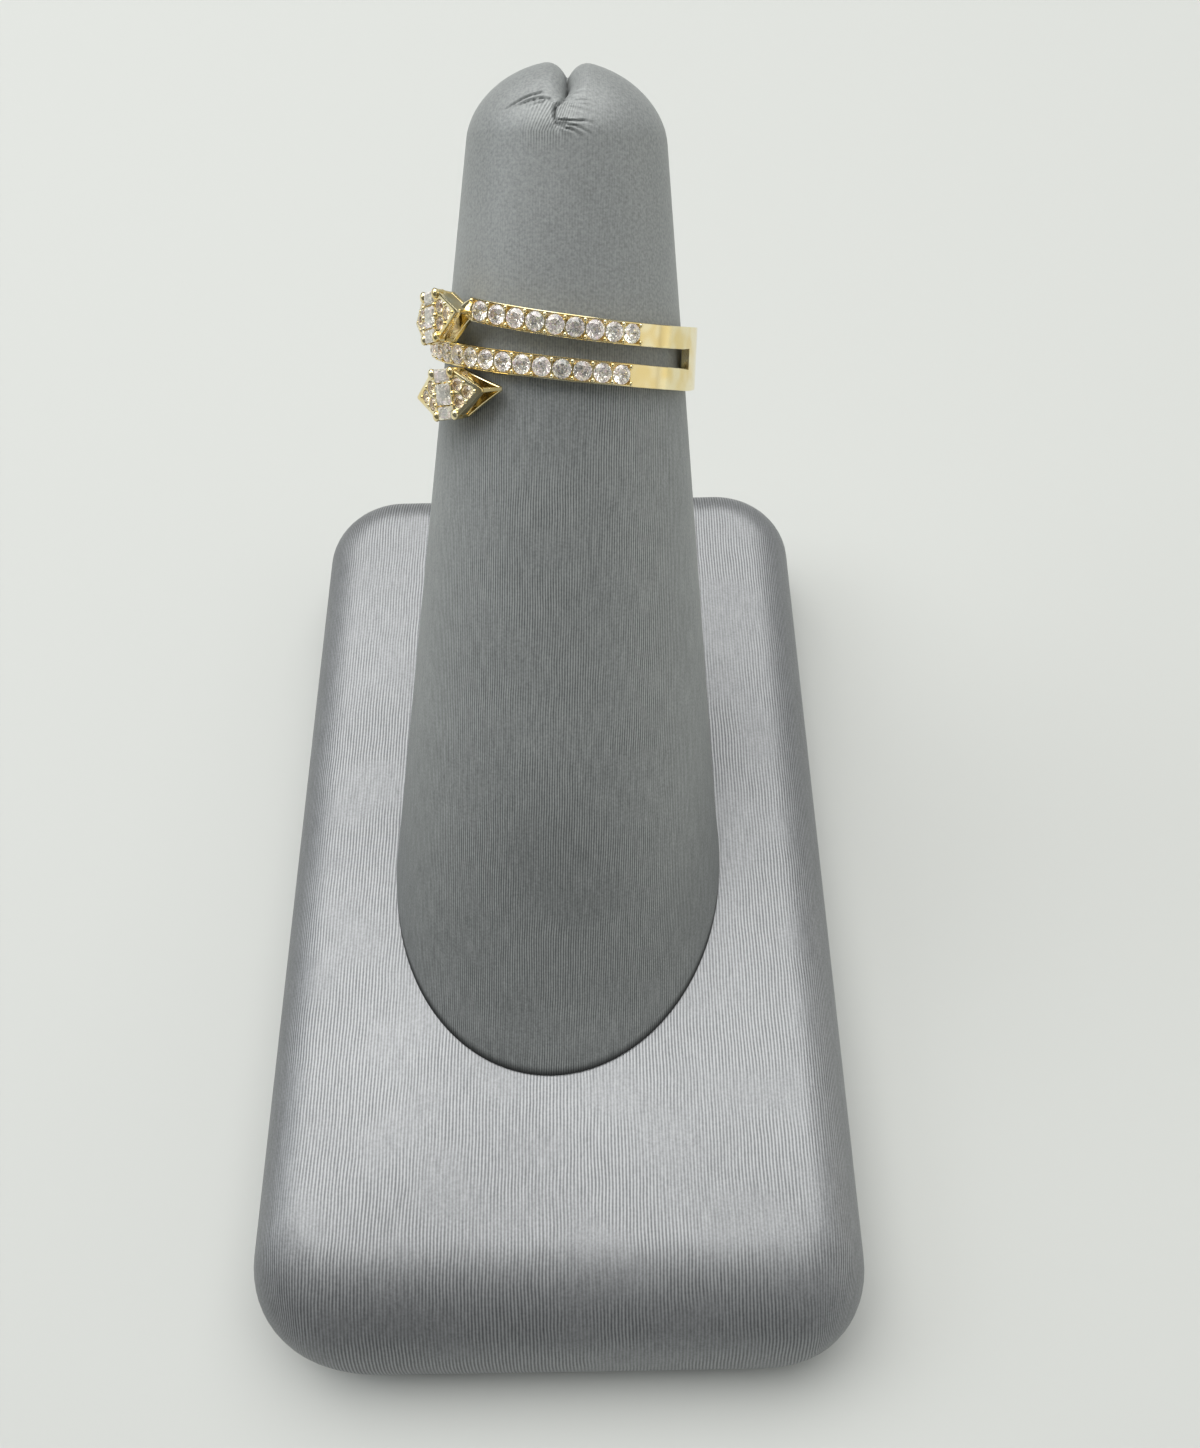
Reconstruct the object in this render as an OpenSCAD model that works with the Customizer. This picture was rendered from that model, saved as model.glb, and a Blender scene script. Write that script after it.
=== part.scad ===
// A two-band bypass ring with two raised heads, worn on a leaning display finger that stands on a
// rectangular base. Z is up, the origin is the centre of the base's underside, and the finger leans
// back towards +Y. Millimetres throughout.

/* [Stand base] */
// Width of the base, across the finger
base_w = 44.5; // [38:0.5:60]
// Depth of the base, along the way the finger leans
base_d = 77; // [70:0.5:100]
// Height of the base
base_h = 10.5; // [9:0.5:16]
// Radius of the base's corners, seen from above
base_corner_r = 6.9; // [6:0.1:12]
// Radius of the soft top edge
base_top_r = 4; // [2:0.1:5]
// Radius of the edge at the underside
base_foot_r = 1.8; // [1:0.1:3]
// Radius of the softer edge between the top and the front
base_front_r = 6; // [5:0.1:7]
// Distance from the front's foot back to the flat of the top
base_front_run = 8.4; // [8:0.1:10]

/* [Stand finger] */
// Radius of the finger at its foot, square to its axis
finger_foot_r = 13.15; // [12:0.05:13.2]
// Radius that the finger's taper reaches at the tip
finger_tip_r = 6.15; // [5:0.05:7]
// Length of the finger from foot to tip, along its axis
finger_len = 57; // [52:0.5:64]
// Length of the rounded tip along the axis
finger_cap = 4.8; // [4:0.1:7]
// Lean of the finger back from the vertical
finger_lean = 40; // [30:1:45]
// Turn of the finger about the vertical, as it was glued on
finger_turn = -3.9; // [-6:0.1:6]
// Where the finger's axis meets the base, right of the base's middle
finger_x = 0.2; // [-2:0.1:2]
// Where the finger's axis meets the base, behind the base's middle
finger_y = 0.7; // [-3:0.1:3]
// Depth of the crease that the gathered cover leaves in the tip
crease_depth = 0.8; // [0.3:0.1:1.2]

/* [Ring] */
// Inner radius of the ring
ring_in_r = 8.79; // [8.79:0.01:8.9]
// Thickness of the metal of the bands
band_t = 0.55; // [0.55:0.05:0.7]
// Width of one band
band_w = 1.45; // [1.42:0.01:1.5]
// Distance between the two bands' middles at the back
band_pitch = 2.76; // [2.7:0.02:2.9]
// Further rise of an outer band towards its head, if it ran on to the front
band_rise = 1.86; // [1.7:0.02:2]
// Lift of an outer band off the finger towards its head, if it ran on to the front
band_lift = 0.3; // [0.3:0.05:0.4]
// Angle from the front at which the two bands join
join_angle = 120; // [110:1:130]
// Height of the ring's middle along the finger, from the finger's foot
ring_height = 38.5; // [38.4:0.05:40]
// Tilt of the ring on the finger, its near side up
ring_tilt = 3.5; // [2:0.5:4]
// Hang of the ring towards the finger's underside
ring_hang = 0.14; // [0.14:0.01:0.16]
// Way that the ring's front faces, about the finger's axis
ring_front = 220; // [0:1:360]

/* [Pave stones] */
// Diameter of a stone in the bands
pave_d = 1.17; // [1:0.01:1.17]
// Angle from one stone of the middle band to the next
middle_step = 8.2; // [8:0.1:8.6]
// Stones in the middle band on each side of the front
middle_half_count = 10; // [8:1:10]
// Angle of an outer band's first stone, next to its head
outer_start = 18.7; // [18.5:0.1:20]
// Angle from one stone of an outer band to the next
outer_step = 7.9; // [7.8:0.1:8.2]
// Stones in an outer band
outer_count = 9; // [7:1:9]

/* [Heads] */
// Distance of a head's face from the ring's axis
face_r = 10.53; // [10.4:0.01:10.7]
// Angle from the front at which a head's face points
head_angle = 7.5; // [6:0.1:9]
// Shift of a head along its own face, towards the front
head_shift = 0.55; // [0.3:0.05:0.8]
// Height of the upper head's middle above the ring's middle
upper_rise = 2.27; // [2.25:0.01:2.5]
// Depth of the lower head's middle below the ring's middle
lower_drop = 2.6; // [2.5:0.01:2.7]
// Twist of a head's long axis out of the band's line
head_twist = 6.7; // [5:0.1:9]
// Lean of a head's face out towards the middle band
head_lean = 2.5; // [1:0.5:3]
// Half length of a head's face
face_a = 3.52; // [3.4:0.02:3.6]
// Half breadth of a head's face, at the ends of its column of stones
face_b = 1.64; // [1.64:0.01:1.7]
// Half length of a head's foot, towards its free tip
foot_a = 3.8; // [3.5:0.05:4]
// Half breadth of a head's foot
foot_b = 1.45; // [1.35:0.05:1.45]
// Half width of the column of stones
column_w = 0.84; // [0.84:0.01:0.88]
// Slope of the side fields, away from the column
field_slope = 9.5; // [5:0.5:12]
// Diameter of a round stone in the heads
round_d = 0.86; // [0.8:0.01:0.88]

/* [Hidden] */

// Colours, as the photo shows them
cover_grey = [0.45, 0.47, 0.48];
gold = [0.88, 0.72, 0.36];
stone_white = [0.90, 0.91, 0.95];

// The bands
band_out_r = ring_in_r + band_t;
sweep_step = 4;

// The stones' proportions, as shares of the girdle's diameter
table_share = 0.58;
crown_share = 0.15;
girdle_share = 0.04;
pavilion_share = 0.4;
stone_sides = 8;
seat_gap = 0.035;
seat_floor_r = 0.08;
seat_open_h = 0.5;
// Radius at which the pave stones' girdles sit
pave_girdle_r = band_out_r - 0.06;

// Beads on the bands' edges, between the stones
bead_r = 0.16;
bead_h = 0.12;
bead_sink = 0.06;
bead_off = band_w / 2 - 0.13;

// The heads' metal
plate_t = 0.42;
corner_r = 0.14;
wall_r = 0.1;
// Radius of the foot rail's middle, and half its thickness
foot_rail_r = 9.25;
foot_bar_r = 0.15;
// Half length of a head's foot where it joins its band
foot_joined = 2.95;
claw_r = 0.12;
claw_h = 0.14;
// Height of the rail at the column's corners, below the stones
corner_h = -0.62;
// Places of the three round stones in a side field: along and across the face
round_places = [[1.42, -0.54], [1.42, 0.54], [2.24, 0]];
// Length of each column stone across the face, and where its middle lies
column_lengths = [0.84, 1.36, 0.84];
column_gap = 0.1;
column_step = (column_lengths[0] + column_lengths[1]) / 2 + column_gap;
column_meet = (column_lengths[1] + column_gap) / 2;
column_stone_w = 1.5;
column_depth = 0.6;

// Height of the middle band's line at an angle from the front: it climbs from one edge of the back
// to the other through the front
function middle_z(angle) =
    let (t = min(abs(angle) / join_angle, 1))
    -sign(angle) * band_pitch / 2 * (0.7 * t + 0.3 * sin(90 * t));

// Height of an outer band's line: the upper one on the near side, its half turn copy on the other
function outer_z(angle) =
    let (t = min(abs(angle) / join_angle, 1))
    sign(angle) * (band_pitch / 2 + band_rise * pow(1 - t, 2));

// Covered rectangular block: a quarter of a turn at each corner, straight edges and a plain core
module base_edge_profile() {
    difference() {
        square([base_corner_r, base_h]);
        translate([base_corner_r - base_top_r, base_h - base_top_r])
            difference() {
                square(base_top_r + 1);
                circle(r = base_top_r, $fn = 96);
            }
        translate([base_corner_r - base_foot_r, base_foot_r])
            difference() {
                translate([0, -base_foot_r - 1]) square(base_foot_r + 1);
                circle(r = base_foot_r, $fn = 64);
            }
    }
}

// The base from the side: its front slopes back and runs softly into the top
module base_side_profile() {
    front = -base_d / 2;
    clear = 0.05;
    hull() {
        translate([front - clear, 0]) square([base_d, base_foot_r]);
        translate([front + base_front_run, base_h - base_front_r])
            circle(r = base_front_r, $fn = 128);
        square([base_d, base_h]);
    }
}

module base_block() {
    core_w = base_w - 2 * base_corner_r;
    core_d = base_d - 2 * base_corner_r;
    union() {
        translate([-core_w / 2, -core_d / 2, 0]) cube([core_w, core_d, base_h]);
        for (k = [0:3]) {
            along = k % 2 == 0 ? core_d : core_w;
            across = k % 2 == 0 ? core_w : core_d;
            rotate([0, 0, 90 * k]) {
                translate([across / 2, along / 2, 0]) rotate([90, 0, 0])
                    linear_extrude(along) base_edge_profile();
                translate([across / 2, along / 2, 0])
                    rotate_extrude(angle = 90, $fn = 96) base_edge_profile();
            }
        }
    }
}

module stand_base() {
    color(cover_grey) intersection() {
        base_block();
        rotate([90, 0, 90]) linear_extrude(2 * base_w, center = true) base_side_profile();
    }
}

// Puts its children in the finger's frame: Z along the finger, from its foot
module on_finger() {
    translate([finger_x, finger_y, base_h]) rotate([-finger_lean, 0, finger_turn]) children();
}

// Tapered padded finger with a domed tip, cut off level where it stands on the base, with the crease
// of its gathered cover over the tip
module stand_finger() {
    below = -finger_foot_r;
    cap_from = finger_len - finger_cap;
    taper = (finger_foot_r - finger_tip_r) / finger_len;
    dome_steps = 10;
    crease_r = 1.6;
    crease_path_r = 12;
    crease_arc = 100;
    crease_front = 0.3;
    color(cover_grey) difference() {
        intersection() {
            on_finger() rotate_extrude($fn = 120) polygon(concat(
                [[0, below], [finger_foot_r - taper * below, below]],
                [for (i = [0:dome_steps])
                    let (t = 90 * i / dome_steps, h = cap_from + finger_cap * sin(t))
                    [(finger_foot_r - taper * h) * cos(t), h]]));
            translate([-base_w, -base_d, base_h]) cube([2 * base_w, 2 * base_d, 2 * finger_len]);
        }
        on_finger()
            translate([0, -crease_front, finger_len - crease_depth - crease_path_r])
            rotate([0, 90, 0]) rotate([0, 0, 180 - crease_arc / 2])
            rotate_extrude(angle = crease_arc, $fn = 96)
            translate([crease_path_r + crease_r, 0]) circle(r = crease_r, $fn = 48);
    }
}

// Puts its children in the ring's frame: Z along its axis, X to the ring's front
module on_ring() {
    on_finger() translate([0, ring_hang, ring_height])
        rotate([-ring_tilt, 0, 0]) rotate([0, 0, ring_front]) children();
}

// Lift of an outer band at an angle
function outer_lift(angle) = band_lift * pow(1 - min(abs(angle) / join_angle, 1), 2);

// A strip of metal bent round the ring's axis through rows of [angle, middle height, half width,
// inner radius]
function strip_points(rows) =
    [for (row = rows, corner = [[0, -1], [band_t, -1], [band_t, 1], [0, 1]])
        let (r = row[3] + corner[0])
        [r * cos(row[0]), r * sin(row[0]), row[1] + corner[1] * row[2]]];

module strip(rows) {
    last = len(rows) - 1;
    polyhedron(
        points = strip_points(rows),
        faces = concat(
            [[3, 2, 1, 0]],
            [for (i = [0:last - 1], k = [0:3]) let (a = 4 * i + k, b = 4 * i + (k + 1) % 4)
                [b, b + 4, a + 4, a]],
            [[4 * last, 4 * last + 1, 4 * last + 2, 4 * last + 3]]));
}

function angles(from, to) = let (n = ceil((to - from) / sweep_step))
    [for (i = [0:n]) from + (to - from) * i / n];

module middle_band() {
    strip([for (t = angles(-join_angle - 1, join_angle + 1))
        [t, middle_z(t), band_w / 2, ring_in_r]]);
}

module outer_band(from, to) {
    strip([for (t = angles(from, to)) [t, outer_z(t), band_w / 2, ring_in_r + outer_lift(t)]]);
}

module shank() {
    strip([for (t = angles(join_angle, 360 - join_angle))
        [t, 0, (band_pitch + band_w) / 2, ring_in_r]]);
}

// Places of the small stones: angle round the ring, height and lift
middle_places = [for (i = [-middle_half_count:middle_half_count - 1])
    let (t = (i + 0.5) * middle_step) [t, middle_z(t), 0]];
outer_places = [for (i = [0:outer_count - 1])
    let (t = outer_start + i * outer_step) [t, outer_z(t), outer_lift(t)]];

// Sets its children at a place on the bands, Z pointing out of the ring at the given radius
module at_place(place, r) {
    rotate([0, 0, place[0]]) translate([r + place[2], 0, place[1]]) rotate([0, 90, 0]) children();
}

// Round cut stone with its girdle at the origin: table, sixteen crown facets and a pavilion
module round_stone(d) {
    n = stone_sides;
    r = d / 2;
    girdle_h = girdle_share * d;
    pts = concat(
        [for (i = [0:n - 1]) let (a = 360 * (i + 0.5) / n)
            [table_share * r * cos(a), table_share * r * sin(a), girdle_h + crown_share * d]],
        [for (h = [girdle_h, 0], i = [0:n - 1]) let (a = 360 * i / n)
            [r * cos(a), r * sin(a), h]],
        [[0, 0, -pavilion_share * d]]);
    polyhedron(points = pts, faces = concat(
        [[for (i = [0:n - 1]) n - 1 - i]],
        [for (i = [0:n - 1]) [i, n + (i + 1) % n, n + i]],
        [for (i = [0:n - 1]) [i, (i + 1) % n, n + (i + 1) % n]],
        [for (i = [0:n - 1]) [n + i, n + (i + 1) % n, 2 * n + (i + 1) % n, 2 * n + i]],
        [for (i = [0:n - 1]) [2 * n + i, 2 * n + (i + 1) % n, 3 * n]]));
}

// Seat for a round stone: a cone a little wider than its pavilion, open above the girdle
module round_seat(d) {
    r = d / 2 + seat_gap;
    deep = pavilion_share * d;
    cylinder(r = r, h = seat_open_h, $fn = stone_sides);
    translate([0, 0, -deep])
        cylinder(r1 = seat_floor_r, r2 = r, h = deep, $fn = stone_sides);
}

// Step cut stone for the column: table, four crown steps, a girdle and a keeled pavilion
module step_stone(w, len, deep) {
    girdle = [[-w, -len], [w, -len], [w, len], [-w, len]] / 2;
    table_w = 0.62;
    table_len = len > w * 0.8 ? 0.62 : 0.5;
    crown_h = 0.17;
    girdle_h = 0.05;
    keel = max((w - len * 0.6) / 2, 0.2);
    pts = concat(
        [for (p = girdle) [p[0] * table_w, p[1] * table_len, girdle_h + crown_h]],
        [for (p = girdle) [p[0], p[1], girdle_h]],
        [for (p = girdle) [p[0], p[1], 0]],
        [[-keel, 0, -deep], [keel, 0, -deep]]);
    polyhedron(points = pts, faces = concat(
        [[3, 2, 1, 0]],
        [for (row = [0, 4], i = [0:3]) let (j = (i + 1) % 4)
            [row + i, row + j, row + 4 + j, row + 4 + i]],
        [[8, 9, 13, 12], [9, 10, 13], [10, 11, 12, 13], [11, 8, 12]]));
}

// The lower head is on the near side, and the upper one is turned over about the ring's front axis.
// In a head's own frame X runs along the face to its free tip, Y across it and Z out of it, and the
// face lies at Z = 0.
module on_head(side) {
    offset = side == "lower" ? lower_drop : upper_rise;
    rotate(side == "lower" ? [0, 0, 0] : [180, 0, 0])
        rotate([0, 0, head_angle]) translate([face_r, -head_shift, -offset])
        rotate([0, 90, 0]) rotate([0, 0, 90])
        rotate([head_lean, 0, 0]) rotate([0, 0, head_twist]) children();
}

// How far down the face falls at a distance from the column
function face_fall(x) = -max(abs(x) - column_w, 0) * tan(field_slope);

// Places on a side field, for the right or the left side of the column
module on_field(dir, place) {
    translate([dir * place[0], place[1], face_fall(place[0])])
        rotate([0, dir * field_slope, 0]) children();
}

// Height of the top rail at a corner of the outline
function rail_h(corner) = corner[1] == 0 ? face_fall(face_a) - plate_t / 2 : corner_h;

// Corners of a head's outline, from its free tip round
function outline_corners(free, joined, b) =
    [[free, 0], [column_w, b], [-column_w, b], [-joined, 0], [-column_w, -b], [column_w, -b]];

// Depth below the face of a point of the ring's cylinder of radius r, at a place on the face
function cylinder_depth(p, r) =
    let (across = p[0] * cos(head_twist) - p[1] * sin(head_twist) - head_shift)
    sqrt(r * r - across * across) - face_r;

// A bar between two points
module bar(p, q, r, sides = 4) {
    hull() {
        translate(p) sphere(r, $fn = sides);
        translate(q) sphere(r, $fn = sides);
    }
}

// A small bead raised from the metal, its foot a little below the surface
module bead() {
    translate([0, 0, -bead_sink])
        cylinder(r1 = bead_r, r2 = bead_r * 0.55, h = bead_h + bead_sink, $fn = 6);
}

// Distance of the claws from the column's middle, just clear of the stones
claw_x = column_stone_w / 2 + seat_gap + corner_r;

// Side field: a plate from the column's edge to the tip
module field_plate(dir) {
    hull() {
        for (p = [[claw_x, face_b - corner_r], [claw_x, corner_r - face_b], [face_a - corner_r, 0]])
            on_field(dir, p) translate([0, 0, -plate_t])
                cylinder(r = corner_r, h = plate_t - 0.05, $fn = 8);
    }
}

module head_metal() {
    top = outline_corners(face_a - corner_r, face_a - corner_r, face_b - corner_r);
    foot = outline_corners(foot_a, foot_joined, foot_b);
    difference() {
        for (dir = [-1, 1]) field_plate(dir);
        for (dir = [-1, 1], place = round_places)
            on_field(dir, place) translate([0, 0, -0.1]) round_seat(round_d);
    }
    // Top rail under the plates, foot rail on the ring's cylinder, and a post at each corner
    for (i = [0:5]) {
        j = (i + 1) % 6;
        t0 = [top[i][0], top[i][1], rail_h(top[i])];
        t1 = [top[j][0], top[j][1], rail_h(top[j])];
        f0 = [foot[i][0], foot[i][1], cylinder_depth(foot[i], foot_rail_r)];
        f1 = [foot[j][0], foot[j][1], cylinder_depth(foot[j], foot_rail_r)];
        mid = (foot[i] + foot[j]) / 2;
        fm = [mid[0], mid[1], cylinder_depth(mid, foot_rail_r)];
        bar(t0, t1, corner_r);
        bar(f0, fm, foot_bar_r);
        bar(fm, f1, foot_bar_r);
        bar(t0, f0, corner_r);
        // The outer side of the joined half is a closed wall
        if (i == 3) hull() {
            bar(t0, t1, wall_r);
            bar(f0, f1, wall_r);
        }
    }
    // Claws beside the column, where its stones meet and at its ends
    for (dx = [-1, 1], dy = [-1, 1], y = [column_meet, face_b - corner_r])
        bar([dx * claw_x, dy * y, corner_h], [dx * claw_x, dy * y, claw_h], claw_r);
    // Beads between the round stones
    for (dir = [-1, 1], p = [[2.02, 0.6], [2.02, -0.6], [2.86, 0], [1.1, 1.14], [1.1, -1.14]])
        on_field(dir, p) translate([0, 0, -0.05]) bead();
}

// Smooth shoulder from the end of an outer band up to the joined tip of its head
module shoulder(side) {
    start = outer_start - outer_step / 2 - 0.4;
    tip = [corner_r - face_a, 0, rail_h([corner_r - face_a, 0])];
    foot = [-foot_joined, 0, cylinder_depth([-foot_joined, 0], foot_rail_r)];
    flank = [-2, -0.68, cylinder_depth([-2, -0.68], foot_rail_r) + 0.35];
    hull() {
        rotate(side == "upper" ? [0, 0, 0] : [180, 0, 0]) outer_band(start - 2, start);
        on_head(side) for (p = [tip, foot, flank]) translate(p) sphere(corner_r, $fn = 8);
    }
}

module bead_pair(t, z, lift) {
    for (dz = [-1, 1]) at_place([t, z + dz * bead_off, lift], band_out_r) bead();
}

// The cast and soldered metal of the ring
module ring_setting() {
    band_from = outer_start - outer_step / 2 - 3;
    color(gold) on_ring() {
        difference() {
            union() {
                shank();
                middle_band();
                for (turn = [0, 180]) rotate([turn, 0, 0]) outer_band(band_from, join_angle + 1);
                for (side = ["lower", "upper"]) shoulder(side);
            }
            for (place = middle_places)
                at_place(place, pave_girdle_r) round_seat(pave_d);
            for (turn = [0, 180], place = outer_places) rotate([turn, 0, 0])
                at_place(place, pave_girdle_r) round_seat(pave_d);
        }
        for (i = [-middle_half_count:middle_half_count])
            bead_pair(i * middle_step, middle_z(i * middle_step), 0);
        for (turn = [0, 180], i = [0:outer_count]) {
            t = outer_start + (i - 0.5) * outer_step;
            rotate([turn, 0, 0]) bead_pair(t, outer_z(t), outer_lift(t));
        }
        for (side = ["lower", "upper"]) on_head(side) head_metal();
    }
}

module pave_row(places, turn) {
    color(stone_white) on_ring() rotate([turn, 0, 0])
        for (place = places) at_place(place, pave_girdle_r) round_stone(pave_d);
}

module pave_row_middle() { pave_row(middle_places, 0); }
module pave_row_upper() { pave_row(outer_places, 0); }
module pave_row_lower() { pave_row(outer_places, 180); }

// The three step cut stones of a head's column, counted from the bottom of the face
module column_stone(side, i) {
    color(stone_white) on_ring() on_head(side)
        translate([0, (i - 2) * column_step, -0.08])
        step_stone(column_stone_w, column_lengths[i - 1], column_depth);
}

// The six round stones of a head's side fields: one to three on the free side, four to six beyond
module field_stone(side, i) {
    dir = i <= 3 ? 1 : -1;
    color(stone_white) on_ring() on_head(side)
        on_field(dir, round_places[(i - 1) % 3]) translate([0, 0, -0.1]) round_stone(round_d);
}

stand_base();
stand_finger();
ring_setting();
pave_row_middle();
pave_row_upper();
pave_row_lower();
for (side = ["upper", "lower"], i = [1:3])
    column_stone(side, i);
for (side = ["upper", "lower"], i = [1:6])
    field_stone(side, i);
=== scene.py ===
# A two-band bypass ring set with cubic zirconia, on the padded finger of a small display stand. The
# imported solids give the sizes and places; each section below makes one piece as it is really made.
import math

import bmesh
import bpy
import numpy as np
from mathutils import Matrix, Vector


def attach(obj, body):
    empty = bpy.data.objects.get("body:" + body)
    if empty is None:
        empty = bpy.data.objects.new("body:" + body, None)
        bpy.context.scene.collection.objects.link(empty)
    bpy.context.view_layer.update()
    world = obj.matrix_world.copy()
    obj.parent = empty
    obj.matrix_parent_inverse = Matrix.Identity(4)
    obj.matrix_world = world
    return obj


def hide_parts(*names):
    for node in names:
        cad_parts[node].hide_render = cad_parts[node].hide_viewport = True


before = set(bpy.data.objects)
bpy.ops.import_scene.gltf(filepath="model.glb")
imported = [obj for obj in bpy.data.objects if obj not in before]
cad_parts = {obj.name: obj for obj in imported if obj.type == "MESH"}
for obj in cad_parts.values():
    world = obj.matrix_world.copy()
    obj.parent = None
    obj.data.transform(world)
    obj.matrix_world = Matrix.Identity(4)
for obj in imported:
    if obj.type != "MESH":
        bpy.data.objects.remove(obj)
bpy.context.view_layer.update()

# Stand base: a block of board wrapped in thin padded leatherette, steel grey with a brushed sheen.
# The cover is pulled over the soft top edges and glued underneath, and its fine lines run from the
# back of the stand to the front.
MM = 0.001
base_w, base_d, base_h = 44.5, 77.0, 10.5
base_corner_r, base_top_r, base_foot_r, base_front_foot_r = 6.9, 4.0, 1.8, 3.5
base_front_in, base_front_run, base_crown = 0.3, 8.5, 0.12
# What the front corners' radii gain: half way up, the swing about that, and the height where it ends
base_left_round, base_right_round = (2.0, 2.6, 8.0), (0.6, 1.8, 7.0)
# Its rows close on a line along the middle, underneath and on top, from one place to the other
underside_middle, top_middle = (-16, 16), (-14, 16)
# A row's points round each corner, and between the corners at its ends and along its sides
corner_points, end_points, side_points = 15, 24, 52


class Link:
    """One output of a node. The usual operators on links add the Math nodes that work them out."""

    def __init__(self, tree, output):
        self.tree, self.output = tree, output

    def math(self, operation, *others):
        return math_node(self.tree, operation, self, *others)

    def __add__(self, other):
        return self.math("ADD", other)

    def __radd__(self, other):
        return math_node(self.tree, "ADD", other, self)

    def __sub__(self, other):
        return self.math("SUBTRACT", other)

    def __rsub__(self, other):
        return math_node(self.tree, "SUBTRACT", other, self)

    def __mul__(self, other):
        return self.math("MULTIPLY", other)

    def __rmul__(self, other):
        return math_node(self.tree, "MULTIPLY", other, self)

    def __truediv__(self, other):
        return self.math("DIVIDE", other)

    def __pow__(self, other):
        return self.math("POWER", other)

    def between(self, low, high):
        """0 below low, 1 above high, and a soft step from one to the other."""
        return add_node(self.tree, "ShaderNodeMapRange", {"interpolation_type": "SMOOTHSTEP"},
                        {"Value": self, "From Min": low, "From Max": high})

    def part(self, axis):
        """One number of a vector: 0 for X, 1 for Y and 2 for Z."""
        return add_node(self.tree, "ShaderNodeSeparateXYZ", values={0: self}, out=axis)

    def noise(self, scale, detail):
        """The value of a Noise texture that lies on this vector."""
        return add_node(self.tree, "ShaderNodeTexNoise",
                        values={"Vector": self, "Scale": scale, "Detail": detail})

    def into(self, node, socket):
        """Links the output into a socket of a node."""
        self.tree.links.new(self.output, node.inputs[socket])


def add_node(tree, kind, settings=None, values=None, out=0):
    """Adds a node: its settings first, then its sockets' values or links. Returns one output."""
    made = tree.nodes.new(kind)
    for name, value in (settings or {}).items():
        setattr(made, name, value)
    for key, value in (values or {}).items():
        socket = made.inputs[key]
        if isinstance(value, Link):
            tree.links.new(value.output, socket)
        elif isinstance(value, (tuple, list)) and len(value) == 3 and socket.type == "RGBA":
            socket.default_value = (*value, 1.0)
        else:
            socket.default_value = value
    return Link(tree, made.outputs[out])


def math_node(tree, operation, *values):
    """A Math node on numbers or links."""
    return add_node(tree, "ShaderNodeMath", {"operation": operation}, dict(enumerate(values)))


def mix_colours(tree, share, first, second):
    """A colour between two, by a share from 0 to 1."""
    made = tree.nodes.new("ShaderNodeMix")
    made.data_type = "RGBA"
    for socket, value in zip([made.inputs[k] for k in (0, 6, 7)], (share, first, second)):
        if isinstance(value, Link):
            tree.links.new(value.output, socket)
        else:
            socket.default_value = value if socket.type == "VALUE" else (*value, 1.0)
    return Link(tree, made.outputs[2])


def new_material(name, constants):
    """A material with one Principled shader, its constants set on the shader's own sockets."""
    material = bpy.data.materials.new(name)
    material.use_nodes = True
    tree = material.node_tree
    shader = tree.nodes["Principled BSDF"]
    for socket, value in constants.items():
        target = shader.inputs[socket]
        target.default_value = (*value, 1.0) if target.type == "RGBA" else value
    return material, tree, shader


def leatherette(name, dark, light, line_pitch, plain_from, sheen, foot):
    """Brushed steel grey leatherette with fine lines, on the piece's own map in millimetres, u across
    the lines and v along them. Beyond plain_from along them the grain hides the lines, and the cover
    is painted a little lighter there as painted light. The foot gives how much painted shade darkens
    the cover near where the piece stands on the base, its seam included."""
    material, tree, shader = new_material(name, {"Metallic": sheen, "Specular IOR Level": 0.3})
    place = add_node(tree, "ShaderNodeUVMap", {"uv_map": "cover"})
    across, along = place.part(0), place.part(1)
    body = add_node(tree, "ShaderNodeTexCoord", out=3)

    # The lines bend a little and are clear in patches only, with short dashes between them
    bent = place.noise(scale=0.25, detail=1.0)
    lines = ((across + bent * 0.25) * (2 * math.pi / line_pitch)).math("SINE") * 0.5 + 0.5
    stretched = add_node(tree, "ShaderNodeMapping", values={"Vector": place, "Scale": (4.0, 0.5, 1.0)})
    dashes = stretched.noise(scale=1.0, detail=2.0)
    patches = place.noise(scale=0.16, detail=1.0)
    hidden_and_lit = along.between(plain_from, plain_from + 8)
    clear = (0.35 + patches.between(0.35, 0.6) * 0.65) * (1.0 - hidden_and_lit * 0.9)

    # Where the finger's cover is gathered, just below the tip's cleft, they show again
    beside = (across + 0.9).math("ABSOLUTE")
    gathered = (along.between(50.8, 52.4) - along.between(53.8, 54.3)) * (1.0 - beside.between(0.3, 2.2))
    clear = clear.math("MAXIMUM", gathered * 0.8)

    cloud = body.noise(scale=60.0, detail=2.0)
    grain = body.noise(scale=5600.0, detail=2.0)
    # Painted light and shade: the cover is painted a little lighter up where the lines are hidden, and
    # painted darker towards the foot
    painted_foot_shade = (1.0 - along.between(1, 16)) * foot
    shade = (0.5 + hidden_and_lit * 0.09 - painted_foot_shade + (lines - 0.5) * clear * 0.6
             + (dashes - 0.5) * (0.4 - hidden_and_lit * 0.3) + (cloud - 0.5) * 0.3
             + (grain - 0.5) * (0.4 + hidden_and_lit * 0.15))
    colour = mix_colours(tree, shade.between(0.0, 1.0), dark, light)

    # A dark seam runs round where the finger meets the base, partly the glued seam and partly painted shade
    # where the two meet
    seam_and_shade = (1.0 - body.part(2).between((base_h + 0.1) * MM, (base_h + 0.7) * MM)) * foot * 9
    colour = mix_colours(tree, seam_and_shade, colour, (0.01, 0.01, 0.01))
    colour.into(shader, "Base Color")
    (0.42 + dashes * 0.08 + grain * 0.08).into(shader, "Roughness")
    height = lines * clear * 0.8 + dashes * 0.2 + grain * 0.6
    bump = add_node(tree, "ShaderNodeBump", values={"Strength": 0.5, "Distance": 0.00003, "Height": height})
    bump.into(shader, "Normal")
    return material


def new_object(name, data):
    """An object in the scene, from its mesh, curve, light or camera."""
    made = bpy.data.objects.new(name, data)
    bpy.context.collection.objects.link(made)
    return made


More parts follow.
